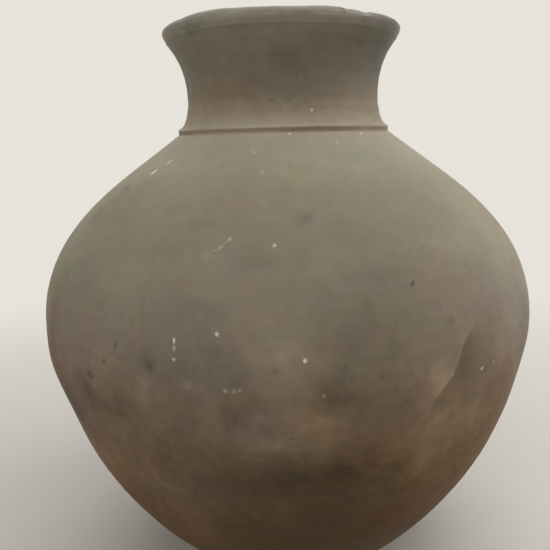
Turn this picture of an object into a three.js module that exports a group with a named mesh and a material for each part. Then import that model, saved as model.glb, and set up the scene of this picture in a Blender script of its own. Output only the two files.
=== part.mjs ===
// Large smoke-fired raku vase: a full round body on a small foot, a short waisted neck that
// stands in a square-edged collar, and a thick rounded lip. It is put together from members of
// clay, each seated on the next in a stepped seam that is luted with slip.
// Millimetres, +Z up, with the origin at the middle of the foot's underside.

import * as THREE from 'three';

// Slip: the thin layer between two members of clay.
const slip = 0.3;

// Foot ring, with a tongue on top that keys it to the floor.
const footRadius = 58;
const footWidth = 13;
const footHeight = 6;
const footChamfer = 1.5;
const footTongueWidth = 4;
const footTongueHeight = 2.5;

// Floor: a disc whose raised middle centres the lower wall.
const floorThickness = 10;
const floorBossHeight = 3;

// Body: a broad belly, a sloping shoulder and a narrow mouth that the neck stands in.
// A pull is how far the curve holds its direction at that end, as a Bezier handle does.
const bodyWall = 8.5;
const bellyRadius = 160;
const bellyHeight = 178;
const bellyPull = 60;
const footSlope = THREE.MathUtils.degToRad(24);
const footPull = 55;
const shoulderRadius = 69.8;
const shoulderHeight = 293.6;
const shoulderSlope = THREE.MathUtils.degToRad(37.7);
const shoulderPull = 47.5;
const mouthRadius = 62;

// Belly seam: the upper wall stands inside the lower wall's rim, with a coil over the seam.
const bellySeamHeight = 149;
const bellySeamLap = 8;
const bellyCoilHeight = 15;
const bellyCoilThickness = 5;

// Neck: a flange that stands on the shoulder, a spigot inside the mouth and a waisted tube.
const neckWall = 7.5;
const flangeHeight = 3.5;
const flangeOverhang = 0.8;
const flangeSlope = THREE.MathUtils.degToRad(16);
const flangePull = 5.7;
const spigotDepth = 13;
const waistRadius = 61.9;
const waistRise = 19;
const waistPullDown = 6.4;
const waistPullUp = 13;
const flareRadius = 73.6;
const flareRise = 34.7;
const flareSlope = THREE.MathUtils.degToRad(38.5);
const flarePull = 13.6;

// Neck coil: a fillet of clay pressed in where the spigot comes through the mouth.
const neckCoilHeight = 6;
const neckCoilSwell = 5.4;

// Lip: a thick roll that is keyed to the top of the neck.
const lipRadius = 75.9;
const lipShoulderRise = 5.6;
const lipRise = 8.2;
const lipCrownInset = 4.3;
const lipInsidePull = 4.1;
const lipOutsidePull = 1.7;
const lipCrownPull = 3;
const lipEdgePull = 1.4;
const lipTongueWidth = 3;
const lipTongueHeight = 2;

// Facets round the axis, and steps along each length of curve.
const turnSteps = 60;
const wallSteps = 9;
const shortSteps = 4;

const point = (radius, height) => new THREE.Vector2(radius, height);

// A quarter of swelling or hollow between two points, each with a slope and a pull.
// A slope is measured from the horizontal, and its sense is that of the direction of travel.
function curve(start, startSlope, startPull, endSlope, endPull, end) {
  const along = (slope, pull) => point(Math.cos(slope) * pull, Math.sin(slope) * pull);
  return new THREE.CubicBezierCurve(
    start,
    start.clone().add(along(startSlope, startPull)),
    end.clone().sub(along(endSlope, endPull)),
    end,
  );
}

// The point a given depth under the outer surface, for a curve that runs upwards.
function under(line, depth, t) {
  const outside = line.getPoint(t);
  const tangent = line.getTangent(t);
  return point(outside.x - depth * tangent.y, outside.y + depth * tangent.x);
}

// How far along a curve the surface at that depth reaches a height.
function reach(line, depth, height) {
  let low = 0;
  let high = 1;
  for (let halving = 0; halving < 40; halving += 1) {
    const middle = (low + high) / 2;
    if (under(line, depth, middle).y < height) low = middle;
    else high = middle;
  }
  return (low + high) / 2;
}

// Points of the surface at that depth, from one height to another.
function surface(line, depth, fromHeight, toHeight, steps) {
  const from = reach(line, depth, fromHeight);
  const to = reach(line, depth, toHeight);
  const count = steps + 1;
  return Array.from({ length: count }, (_, step) => under(line, depth, from + (to - from) * step / steps));
}

// The radius of the surface at that depth, at a height.
const radiusAt = (line, depth, height) => under(line, depth, reach(line, depth, height)).x;

// Turns a closed profile, listed clockwise as seen with the radius to the right, about +Z.
function turned(name, profile, material) {
  const closed = [...profile, profile[0]];
  const geometry = new THREE.LatheGeometry(closed.toReversed(), turnSteps);
  geometry.rotateX(Math.PI / 2);
  const mesh = new THREE.Mesh(geometry, material);
  mesh.name = name;
  return mesh;
}

// Heights and radii that the members share.
const upright = Math.PI / 2;
const spigotRadius = mouthRadius - slip;
const floorBottom = footHeight + slip;
const floorTop = floorBottom + floorThickness;
const flangeBottom = shoulderHeight + slip;
const flangeTop = flangeBottom + flangeHeight;
const flangeRadius = shoulderRadius - flangeOverhang;
const waistHeight = flangeTop + waistRise;
const flareHeight = waistHeight + flareRise;
const neckBore = waistRadius - neckWall;
const footTongueRadius = footRadius - footWidth / 2;

// Outer surfaces, each running upwards.
const bodyLine = new THREE.CurvePath();
bodyLine.add(curve(
  point(footRadius, floorBottom), footSlope, footPull,
  upright, bellyPull, point(bellyRadius, bellyHeight),
));
bodyLine.add(curve(
  point(bellyRadius, bellyHeight), upright, bellyPull,
  Math.PI - shoulderSlope, shoulderPull, point(shoulderRadius, shoulderHeight),
));
const neckRootLine = curve(
  point(flangeRadius, flangeTop), Math.PI - flangeSlope, flangePull,
  upright, waistPullDown, point(waistRadius, waistHeight),
);
const neckFlareLine = curve(
  point(waistRadius, waistHeight), upright, waistPullUp,
  upright - flareSlope, flarePull, point(flareRadius, flareHeight),
);

// Clay as the smoke left it.
const clay = (color) => new THREE.MeshStandardMaterial({ color, roughness: 0.8, metalness: 0 });
const darkClay = clay(0x3d3932);
const warmClay = clay(0x59524a);
const oliveClay = clay(0x6b685a);
const neckClay = clay(0x544e44);
const lipClay = clay(0x6f6a5f);
const innerClay = clay(0x4a443c);

// Foot ring: chamfered where it meets the table, with its tongue standing up into the floor.
function footRing() {
  const inside = footRadius - footWidth;
  const tongueInside = footTongueRadius - footTongueWidth / 2;
  const tongueOutside = footTongueRadius + footTongueWidth / 2;
  return turned('foot_ring', [
    point(inside, footChamfer),
    point(inside, footHeight),
    point(tongueInside, footHeight),
    point(tongueInside, footHeight + footTongueHeight),
    point(tongueOutside, footHeight + footTongueHeight),
    point(tongueOutside, footHeight),
    point(footRadius, footHeight),
    point(footRadius, footChamfer),
    point(footRadius - footChamfer, 0),
    point(inside + footChamfer, 0),
  ], darkClay);
}

// Floor: its edge carries on the outside of the body, and a groove takes the foot's tongue.
function floorDisc() {
  const bossRadius = radiusAt(bodyLine, bodyWall, floorTop + slip) - slip;
  const grooveInside = footTongueRadius - footTongueWidth / 2 - slip;
  const grooveOutside = footTongueRadius + footTongueWidth / 2 + slip;
  const grooveTop = footHeight + footTongueHeight + slip;
  return turned('floor_disc', [
    point(0, floorBottom),
    point(0, floorTop + floorBossHeight),
    point(bossRadius, floorTop + floorBossHeight),
    point(bossRadius, floorTop),
    ...surface(bodyLine, 0, floorBottom, floorTop, shortSteps).toReversed(),
    point(grooveOutside, floorBottom),
    point(grooveOutside, grooveTop),
    point(grooveInside, grooveTop),
    point(grooveInside, floorBottom),
  ], innerClay);
}

// Belly seam: the step's upright face lies midway through the wall.
const seamStepHeight = bellySeamHeight - bellySeamLap;
const seamOutside = radiusAt(bodyLine, 0, bellySeamHeight);
const seamInside = radiusAt(bodyLine, bodyWall, seamStepHeight);
const seamStepRadius = (seamOutside + seamInside) / 2;

// Lower wall: a deep bowl that stands round the floor's boss.
function lowerWall() {
  const bottom = floorTop + slip;
  return turned('lower_wall', [
    ...surface(bodyLine, bodyWall, bottom, seamStepHeight, wallSteps),
    point(seamStepRadius, seamStepHeight),
    point(seamStepRadius, bellySeamHeight),
    ...surface(bodyLine, 0, bottom, bellySeamHeight, wallSteps).toReversed(),
  ], warmClay);
}

// Upper wall: the dome from the belly seam to the mouth.
function upperWall() {
  const bottom = bellySeamHeight + slip;
  const stepBottom = seamStepHeight + slip;
  const underMouth = under(bodyLine, bodyWall, 1);
  return turned('upper_wall', [
    point(seamStepRadius - slip, bottom),
    point(seamStepRadius - slip, stepBottom),
    ...surface(bodyLine, bodyWall, stepBottom, underMouth.y, wallSteps),
    point(mouthRadius, underMouth.y),
    point(mouthRadius, shoulderHeight),
    ...surface(bodyLine, 0, bottom, shoulderHeight, wallSteps + shortSteps).toReversed(),
  ], oliveClay);
}

// Belly coil: a roll of clay flattened over the inside of the belly seam.
function bellySeamCoil() {
  const bottom = seamStepHeight - bellyCoilHeight / 2;
  const top = seamStepHeight + bellyCoilHeight / 2;
  const back = surface(bodyLine, bodyWall + slip, bottom, top, 2);
  // A cubic Bezier swells by three quarters of how far its two handles stand off.
  const handleDepth = bodyWall + slip + bellyCoilThickness * 4 / 3;
  const front = new THREE.CubicBezierCurve(
    back[0],
    under(bodyLine, handleDepth, reach(bodyLine, bodyWall, bottom)),
    under(bodyLine, handleDepth, reach(bodyLine, bodyWall, top)),
    back.at(-1),
  );
  return turned('belly_seam_coil', [
    ...front.getPoints(shortSteps),
    ...back.slice(1, -1).toReversed(),
  ], innerClay);
}

// Neck coil: it fills the corner between the spigot and the underside of the mouth.
function neckSeamCoil() {
  const underMouth = under(bodyLine, bodyWall, 1);
  const corner = point(spigotRadius + slip, underMouth.y - slip);
  const foot = point(corner.x, corner.y - neckCoilHeight);
  const swell = point(underMouth.x, corner.y - neckCoilSwell);
  const front = new THREE.QuadraticBezierCurve(foot, swell, point(underMouth.x, corner.y));
  return turned('neck_seam_coil', [corner, ...front.getPoints(shortSteps).toReversed()], innerClay);
}

// Lip seam: the tongue on the neck lies midway through the wall.
const lipSeatInside = radiusAt(neckFlareLine, neckWall, flareHeight);
const lipTongueRadius = (lipSeatInside + flareRadius) / 2;

// Neck: spigot, flange and waisted tube in one piece.
function neckCollar() {
  const spigotBottom = shoulderHeight - spigotDepth;
  const tongueInside = lipTongueRadius - lipTongueWidth / 2;
  const tongueOutside = lipTongueRadius + lipTongueWidth / 2;
  return turned('neck_collar', [
    point(spigotRadius, flangeBottom),
    point(spigotRadius, spigotBottom),
    point(neckBore, spigotBottom),
    ...surface(neckFlareLine, neckWall, waistHeight, flareHeight, wallSteps - 2),
    point(tongueInside, flareHeight),
    point(tongueInside, flareHeight + lipTongueHeight),
    point(tongueOutside, flareHeight + lipTongueHeight),
    point(tongueOutside, flareHeight),
    ...surface(neckFlareLine, 0, waistHeight, flareHeight, wallSteps - 2).toReversed(),
    ...neckRootLine.getPoints(shortSteps + 2).slice(0, -1).toReversed(),
    point(flangeRadius, flangeBottom),
  ], neckClay);
}

// Lip: it swells out from the neck, rolls over its crown and falls away inside.
function lipRing() {
  const bottom = flareHeight + slip;
  const tongueInside = lipTongueRadius - lipTongueWidth / 2 - slip;
  const tongueOutside = lipTongueRadius + lipTongueWidth / 2 + slip;
  const grooveTop = flareHeight + lipTongueHeight + slip;
  const crown = point(lipRadius - lipCrownInset, bottom + lipRise);
  const widest = point(lipRadius, bottom + lipShoulderRise);
  const leaning = upright - flareSlope;
  const insideLine = curve(point(lipSeatInside, bottom), leaning, lipInsidePull, 0, lipCrownInset, crown);
  const edge = point(flareRadius, bottom);
  const outsideLine = curve(edge, leaning, lipOutsidePull, upright, lipOutsidePull, widest);
  const crownLine = curve(widest, upright, lipEdgePull, Math.PI, lipCrownPull, crown);
  return turned('lip_ring', [
    ...insideLine.getPoints(shortSteps),
    ...crownLine.getPoints(shortSteps).slice(0, -1).toReversed(),
    ...outsideLine.getPoints(shortSteps).slice(0, -1).toReversed(),
    point(tongueOutside, bottom),
    point(tongueOutside, grooveTop),
    point(tongueInside, grooveTop),
    point(tongueInside, bottom),
  ], lipClay);
}

const vase = new THREE.Group();
vase.add(
  footRing(),
  floorDisc(),
  lowerWall(),
  bellySeamCoil(),
  upperWall(),
  neckSeamCoil(),
  neckCollar(),
  lipRing(),
);

export default vase;
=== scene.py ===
# Raku vase: the looks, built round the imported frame.
# Metres, the vase stands on z = 0, and its front looks along -Y.
import math

import bmesh
import bpy
import numpy as np
from mathutils import Matrix, Vector, geometry


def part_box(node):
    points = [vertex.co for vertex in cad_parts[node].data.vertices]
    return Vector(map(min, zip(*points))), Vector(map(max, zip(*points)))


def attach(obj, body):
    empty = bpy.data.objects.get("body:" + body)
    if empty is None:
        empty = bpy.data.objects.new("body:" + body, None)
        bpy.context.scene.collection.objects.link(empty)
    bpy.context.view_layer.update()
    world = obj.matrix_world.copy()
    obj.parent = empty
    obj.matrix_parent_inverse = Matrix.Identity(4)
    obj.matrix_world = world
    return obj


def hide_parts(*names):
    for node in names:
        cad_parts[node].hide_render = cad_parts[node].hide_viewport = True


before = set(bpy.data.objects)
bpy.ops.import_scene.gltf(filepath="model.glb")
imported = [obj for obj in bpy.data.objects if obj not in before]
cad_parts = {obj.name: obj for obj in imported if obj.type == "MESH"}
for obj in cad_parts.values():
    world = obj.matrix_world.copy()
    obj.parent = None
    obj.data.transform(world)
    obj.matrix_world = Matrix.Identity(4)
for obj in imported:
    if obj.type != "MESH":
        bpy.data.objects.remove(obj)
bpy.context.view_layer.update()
mm = 0.001
print("frame loaded with", len(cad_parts), "members of clay")

# Camera, fitted to the outline of the vase in a picture of 550 by 550 pixels
cameraSetup = {
    "place": (-0.0074, -0.4262, 0.288),
    "pitchDown": 12.02,       # degrees
    "roll": -1.32,            # degrees, the right of the picture goes up
    "focalPixels": 620.0,
    "picturePixels": 550.0,
    "sensor": 36.0,           # millimetres
    "nearest": 0.01,          # metres
}


def addCamera():
    data = bpy.data.cameras.new("camera")
    data.sensor_width = cameraSetup["sensor"]
    data.lens = cameraSetup["sensor"] * cameraSetup["focalPixels"] / cameraSetup["picturePixels"]
    data.clip_start = cameraSetup["nearest"]
    camera = bpy.data.objects.new("camera", data)
    tilt = Matrix.Rotation(math.radians(90 - cameraSetup["pitchDown"]), 4, "X")
    roll = Matrix.Rotation(math.radians(cameraSetup["roll"]), 4, "Z")
    camera.matrix_world = Matrix.Translation(cameraSetup["place"]) @ tilt @ roll
    bpy.context.scene.collection.objects.link(camera)
    bpy.context.scene.camera = camera


addCamera()
print("camera placed")

# Outer lines of the vase, each running upwards. A pull is the length of a Bezier handle,
# and a slope is in degrees from the horizontal.
seams = {
    "slip": 0.3 * mm,
    "foot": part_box("floor_disc")[0].z,
    "floor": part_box("lower_wall")[0].z,
    "belly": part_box("lower_wall")[1].z,
    "bellyLap": 8 * mm,
    "shoulder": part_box("upper_wall")[1].z,
    "lip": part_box("lip_ring")[0].z,
}
bodyShape = {
    "footRadius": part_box("foot_ring")[1].x,
    "footSlope": 24, "footPull": 55 * mm,
    "bellyRadius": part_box("upper_wall")[1].x,
    "bellyHeight": 178 * mm, "bellyPull": 60 * mm,
    "shoulderRadius": 69.8 * mm,
    "shoulderSlope": 37.7, "shoulderPull": 47.5 * mm,
    "wall": 8.5 * mm,
}
neckShape = {
    "flangeOverhang": 0.8 * mm, "flangeHeight": 3.5 * mm,
    "flangeSlope": 16, "flangePull": 5.7 * mm,
    "waistRadius": 61.9 * mm, "waistRise": 19 * mm,
    "waistPullDown": 6.4 * mm, "waistPullUp": 13 * mm,
    "flareRadius": 73.6 * mm, "flareSlope": 38.5, "flarePull": 13.6 * mm,
    "wall": 7.5 * mm,
}


def stretch(start, startSlope, startPull, endSlope, endPull, end, steps=240):
    # one Bezier stretch of an outline
    def along(slope, pull):
        return Vector((math.cos(math.radians(slope)), math.sin(math.radians(slope)))) * pull
    start, end = Vector(start), Vector(end)
    points = geometry.interpolate_bezier(
        start, start + along(startSlope, startPull), end - along(endSlope, endPull), end, steps + 1)
    return [(p.x, p.y) for p in points]


def skin(line, depth, fromHeight, toHeight, steps):
    # evenly spaced points of the surface that lies so deep under a line, from one height to another
    tangents = np.gradient(line, axis=0)
    tangents /= np.linalg.norm(tangents, axis=1)[:, None]
    shell = line + depth * np.stack([-tangents[:, 1], tangents[:, 0]], axis=1)
    run = np.concatenate([[0], np.cumsum(np.linalg.norm(np.diff(shell, axis=0), axis=1))])
    ends = np.interp([fromHeight, toHeight], shell[:, 1], run)
    wanted = np.linspace(ends[0], ends[1], steps + 1)
    return [(np.interp(at, run, shell[:, 0]), np.interp(at, run, shell[:, 1])) for at in wanted]


belly = (bodyShape["bellyRadius"], bodyShape["bellyHeight"])
bodyLine = np.array(
    stretch((bodyShape["footRadius"], seams["foot"]), bodyShape["footSlope"], bodyShape["footPull"],
            90, bodyShape["bellyPull"], belly)
    + stretch(belly, 90, bodyShape["bellyPull"], 180 - bodyShape["shoulderSlope"],
              bodyShape["shoulderPull"], (bodyShape["shoulderRadius"], seams["shoulder"]))[1:])
flangeRadius = bodyShape["shoulderRadius"] - neckShape["flangeOverhang"]
flangeBottom = seams["shoulder"] + seams["slip"]
flangeTop = flangeBottom + neckShape["flangeHeight"]
waist = (neckShape["waistRadius"], flangeTop + neckShape["waistRise"])
flareTop = seams["lip"] - seams["slip"]
neckRootLine = np.array(stretch(
    (flangeRadius, flangeTop), 180 - neckShape["flangeSlope"], neckShape["flangePull"],
    90, neckShape["waistPullDown"], waist))
neckFlareLine = np.array(stretch(
    waist, 90, neckShape["waistPullUp"],
    90 - neckShape["flareSlope"], neckShape["flarePull"], (neckShape["flareRadius"], flareTop)))

# Length along the whole outer line from the foot upwards, so that a mark keeps its size on a slope
outerLine = np.concatenate([bodyLine, neckRootLine, neckFlareLine,
                            [(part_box("lip_ring")[1].x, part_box("lip_ring")[1].z)]])
outerRun = np.concatenate([[0], np.cumsum(np.linalg.norm(np.diff(outerLine, axis=0), axis=1))])


def runAt(height):
    return np.interp(height, outerLine[:, 1], outerRun)


def girthRadiusAt(height):
    return np.interp(height, outerLine[:, 1], outerLine[:, 0])


# Handwork: how far the clay departs from a true turned form
handwork = {
    "broadSize": 95 * mm, "broadDepth": 0.42 * mm,     # slow waves of a wall beaten round
    "palmSize": 26 * mm, "palmDepth": 0.2 * mm,        # where the palms smoothed it
    "thumbSize": 9 * mm, "thumbDepth": 0.05 * mm,
    "ribPitch": 7.5 * mm, "ribDepth": 0.035 * mm,      # faint rings of the rib
    "fingerPitch": 11 * mm, "fingerDepth": 0.4 * mm,   # finger rings inside
    "ringSway": 2,                                     # how far the rings wander, in radians
    "calmRadius": 20 * mm,                             # none of it this near to the axis
}
# Slow unevenness is a sum of waves, and each use of it has a seed of its own
driftWaves = {"count": 14, "spread": 1.8, "level": 0.7}
driftSeeds = {"broad": 3, "palm": 5, "thumb": 7, "sway": 9, "cloudEdges": (21, 31),
              "ledge": 41, "crown": 43, "crownFine": 47, "edge": 51, "ridge": 53}


def drift(points, size, seed):
    # slow unevenness, about -1 to 1, as a sum of waves that run in seeded directions
    count = driftWaves["count"]
    dice = np.random.default_rng(seed)
    ways = dice.normal(size=(3, count)) * driftWaves["spread"] / size
    starts = dice.uniform(0, math.tau, count)
    return np.sin(points @ ways + starts).sum(axis=1) * driftWaves["level"] / math.sqrt(count)


def workedBy(points, inside):
    # outward offset of the clay at each point
    offset = drift(points, handwork["broadSize"], driftSeeds["broad"]) * handwork["broadDepth"]
    offset += drift(points, handwork["palmSize"], driftSeeds["palm"]) * handwork["palmDepth"]
    offset += drift(points, handwork["thumbSize"], driftSeeds["thumb"]) * handwork["thumbDepth"]
    sway = handwork["ringSway"] * drift(points, handwork["broadSize"], driftSeeds["sway"])
    offset += np.sin(points[:, 2] / handwork["ribPitch"] * math.tau + sway) * handwork["ribDepth"]
    ring = np.sin(points[:, 2] / handwork["fingerPitch"] * math.tau + sway)
    return offset + inside * ring * handwork["fingerDepth"]


# Dents: angle from the front in degrees (right is plus), height in mm, half sizes across and up in mm,
# depth in mm (minus stands out)
dents = {
    "flarePress": (58.0, 345.0, 14.0, 5.0, 0.35),
    "flareBack": (-140.0, 340.0, 18.0, 7.0, 0.4),
    "lipLeftFlat": (-74.0, 356.0, 9.0, 2.5, 0.35),
    "lipBackFlat": (163.0, 356.0, 12.0, 3.0, 0.6),
    "neckRidge": (0.0, 308.5, 400.0, 1.6, -0.16),
    "neckHollow": (0.0, 312.5, 400.0, 1.8, 0.12),
    "seamSwell": (-68.0, 160.0, 70.0, 10.0, -0.7),
    "seamTuck": (72.0, 150.0, 65.0, 16.0, 1.1),
    "lowLeft": (-68.0, 128.0, 90.0, 24.0, 1.5),
    "lowRight": (68.0, 96.0, 90.0, 22.0, -0.8),
    "seamKink": (180.0, 149.0, 260.0, 5.0, -0.4),
    "seamHollow": (180.0, 160.0, 260.0, 6.0, 0.3),
    "bellyFlatBack": (150.0, 195.0, 55.0, 35.0, 0.9),
    "shoulderPress": (118.0, 250.0, 30.0, 22.0, 0.6),
}


def angleAndHeight(points):
    return np.degrees(np.arctan2(points[:, 0], -points[:, 1])), points[:, 2]


def girthFrom(middle, angle, radius):
    # way round the vase in mm from one angle to another, the shorter way
    return ((angle - middle + 180) % 360 - 180) * math.radians(1) * radius / mm


def patchSpread(angle, run, place, lean=0.0, warp=(0, 0)):
    # how many half sizes a point lies from the middle of a patch, on the surface
    middle, height, across, up = place
    girth = girthFrom(middle, angle, girthRadiusAt(height * mm))
    rise = (run - runAt(height * mm)) / mm
    girth, rise = girth + warp[0], rise + warp[1]
    turn = math.radians(lean)
    u = girth * math.cos(turn) + rise * math.sin(turn)
    v = rise * math.cos(turn) - girth * math.sin(turn)
    return np.hypot(u / across, v / up)


def pointsOf(mesh):
    points = np.empty(len(mesh.vertices) * 3, np.float32)
    mesh.vertices.foreach_get("co", points)
    return points.reshape(-1, 3).astype(np.float64)


def movePoints(mesh, points):
    mesh.vertices.foreach_set("co", points.astype(np.float32).reshape(-1))
    mesh.update()


def shapeByHand(piece, insideDepth=None):
    # works the outer and inner faces of a turned member, and keeps the innermost share for the paint
    mesh = piece.data
    points = pointsOf(mesh)
    radius = np.hypot(points[:, 0], points[:, 1])
    outer = np.interp(points[:, 2], outerLine[:, 1], outerLine[:, 0])
    inside = np.clip((outer - radius) / insideDepth, 0, 1) if insideDepth else np.zeros(len(points))
    offset = workedBy(points, inside)
    angle, height = angleAndHeight(points)
    run = runAt(height)
    for middle, level, across, up, depth in dents.values():
        spread = patchSpread(angle, run, (middle, level, across, up))
        offset -= depth * mm * np.exp(-spread ** 2) * (1 - inside)
    offset *= np.clip((radius - handwork["calmRadius"]) / handwork["calmRadius"], 0, 1)
    push = offset / np.maximum(radius, 1 * mm)
    points[:, 0] += points[:, 0] * push
    points[:, 1] += points[:, 1] * push
    movePoints(mesh, points)
    return angle, run, height, inside


# A member is spun as one wedge, which is then doubled until it closes
turning = {"doublings": 4, "weld": 0.004 * mm, "sharpFrom": 38}     # sharp in degrees


def turned(name, outline, steps, rounds=(), endsOnAxis=False):
    # spins an outline round the axis; rounds lists corners to soften as (corner, size, steps)
    bm = bmesh.new()
    corners = [bm.verts.new((radius, 0, height)) for radius, height in outline]
    for first, second in zip(corners, corners[1:] + ([] if endsOnAxis else corners[:1])):
        bm.edges.new((first, second))
    picked = [(corners[index], size, cuts) for index, size, cuts in rounds]
    for corner, size, cuts in picked:
        bmesh.ops.bevel(bm, geom=[corner], offset=size, segments=cuts, profile=0.5,
                        affect="VERTICES", material=-1)
    wedge = math.tau / 2 ** turning["doublings"]
    bmesh.ops.spin(bm, geom=bm.verts[:] + bm.edges[:], cent=(0, 0, 0), axis=(0, 0, 1),
                   angle=wedge, steps=steps // 2 ** turning["doublings"])
    for doubling in range(turning["doublings"]):
        copied = bmesh.ops.duplicate(bm, geom=bm.verts[:] + bm.edges[:] + bm.faces[:])["geom"]
        bmesh.ops.rotate(bm, verts=[item for item in copied if isinstance(item, bmesh.types.BMVert)],
                         matrix=Matrix.Rotation(wedge * 2 ** doubling, 3, "Z"))
    bmesh.ops.remove_doubles(bm, verts=bm.verts[:], dist=turning["weld"])
    bmesh.ops.recalc_face_normals(bm, faces=bm.faces[:])
    mesh = bpy.data.meshes.new(name)
    bm.to_mesh(mesh)
    bm.free()
    mesh.shade_smooth()
    mesh.set_sharp_from_angle(angle=math.radians(turning["sharpFrom"]))
    piece = bpy.data.objects.new(name, mesh)
    bpy.context.scene.collection.objects.link(piece)
    return piece


# Clay as the smoke coloured it, and a warm tint that paints light reflected from the floor, as linear colours
clayTints = {
    "olive": (0.283, 0.262, 0.200),
    "khaki": (0.265, 0.225, 0.151),
    "mauve": (0.205, 0.168, 0.136),
    "slate": (0.186, 0.162, 0.134),
    "rose": (0.294, 0.221, 0.164),
    "rust": (0.221, 0.149, 0.091),
    "moss": (0.194, 0.195, 0.134),
    "paleMoss": (0.351, 0.351, 0.257),
    "ash": (0.420, 0.400, 0.327),
    "smoke": (0.113, 0.096, 0.075),
    # painted warm light reflected from the floor onto the low sides, not a colour of the fired clay
    "ember": (0.194, 0.112, 0.049),
    "soot": (0.071, 0.050, 0.029),
}
# Base tone of the outside by height in mm, from the foot to the lip, with painted light and shade in it:
# the shoulder's top, the flange's arris and the lip's band are painted lighter where they face the light,
# the flange's face and the neck under the lip are painted darker as their shade, and towards the foot
# the tone is painted darker and redder as shade and as warm light reflected from the floor, over the smoke's
# own darkening
clayAndLightTones = [
    (0, (0.094, 0.066, 0.038)),
    (45, (0.112, 0.072, 0.036)),
    (70, (0.128, 0.074, 0.030)),
    (85, (0.134, 0.085, 0.039)),
    (110, (0.155, 0.108, 0.054)),
    (128, (0.179, 0.122, 0.066)),
    (150, (0.226, 0.173, 0.109)),
    (190, (0.256, 0.215, 0.156)),
    (240, (0.270, 0.245, 0.174)),
    (262, (0.301, 0.268, 0.191)),
    (280, (0.383, 0.348, 0.260)),
    (293.7, (0.433, 0.377, 0.283)),
    (293.9, (0.320, 0.254, 0.182)),
    (294.7, (0.266, 0.207, 0.149)),
    (296.2, (0.266, 0.207, 0.149)),
    (296.9, (0.440, 0.384, 0.290)),
    (299, (0.375, 0.325, 0.243)),
    (308, (0.304, 0.247, 0.174)),
    (318, (0.238, 0.199, 0.143)),
    (332, (0.208, 0.190, 0.140)),
    (345, (0.244, 0.231, 0.179)),
    (351.2, (0.306, 0.297, 0.236)),
    (352, (0.345, 0.320, 0.264)),
    (354.8, (0.382, 0.356, 0.293)),
    (356.3, (0.360, 0.334, 0.276)),
    (358, (0.298, 0.275, 0.224)),
    (360, (0.292, 0.269, 0.219)),
]
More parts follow.
